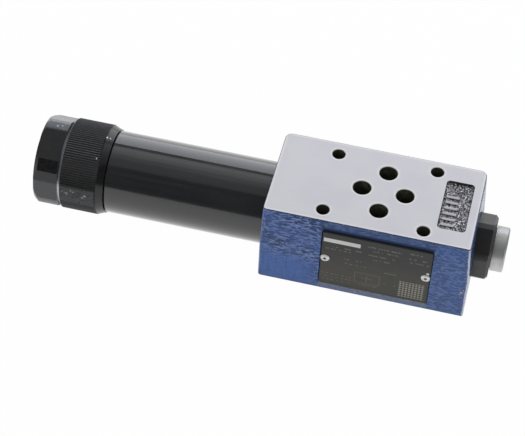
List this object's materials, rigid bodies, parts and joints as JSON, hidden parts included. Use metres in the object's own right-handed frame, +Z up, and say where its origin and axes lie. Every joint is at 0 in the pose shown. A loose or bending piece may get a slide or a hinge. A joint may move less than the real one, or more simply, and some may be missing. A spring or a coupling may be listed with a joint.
{
  "type": "hydraulic sandwich valve",
  "caption": "Stacking pressure reducing valve: ported block with through bolt holes, long round spring housing with knurled hexagonal cap, end plug with gauge port plug, riveted nameplate.",
  "frame": {"origin": "centre of the bolt hole pattern on the lower port face", "axes": "+Z up, normal to the port faces; +X along the spool bore towards the gauge port; nameplate on -Y"},
  "size_m": [0.1935, 0.0442, 0.04],
  "materials": {
    "painted_casting": "blue paint over a cast skin, port faces ground bare",
    "black_anodised": "turned, black anodised, half gloss",
    "black_steel": "black oxide",
    "zinc_steel": "zinc plated, turned",
    "bright_steel": "ground steel",
    "spring_steel": "shot peened spring wire",
    "seal_rubber": "moulded seal rubber",
    "nameplate_black": "dark printed sheet",
    "rivet_metal": "bright"
  },
  "bodies": {
    "valve": {"valve_body": "painted_casting", "spring_housing": "black_anodised", "housing_o_ring": "seal_rubber", "end_plug": "black_steel", "end_plug_o_ring": "seal_rubber", "gauge_port_plug": "zinc_steel", "gauge_port_seal": "seal_rubber", "nameplate": "nameplate_black", "nameplate_rivets": "rivet_metal", "port_o_ring_p": "seal_rubber", "port_o_ring_a": "seal_rubber", "port_o_ring_b": "seal_rubber", "port_o_ring_t": "seal_rubber"},
    "thrust_plate": {"spring_plate": "bright_steel", "thrust_ball": "bright_steel", "main_spring": "spring_steel"},
    "cap": {"adjusting_cap": "black_anodised", "adjuster_o_ring": "seal_rubber", "cap_stop_ring": "bright_steel"},
    "spool": {"control_spool": "bright_steel", "orifice_screw": "bright_steel", "spool_spring_seat": "bright_steel"}
  },
  "joints": [
    {"name": "cap_travel", "type": "slide", "parent": "valve", "child": "thrust_plate", "axis": [-1, 0, 0], "range_m": [0, 0.0075], "deforming": ["main_spring"]},
    {"name": "cap_turn", "type": "hinge", "parent": "thrust_plate", "child": "cap", "pos_m": [-0.11, 0, 0.02], "axis": [-1, 0, 0], "range_deg": [0, 1800]},
    {"name": "spool_slide", "type": "slide", "parent": "valve", "child": "spool", "axis": [-1, 0, 0], "range_m": [0, 0.003], "stiffness_N_per_m": 1500, "deforming": ["main_spring"]}
  ],
  "couplings": [
    {"joint": "cap_turn", "follows": "cap_travel", "rad_per_m": 4188.8}
  ]
}
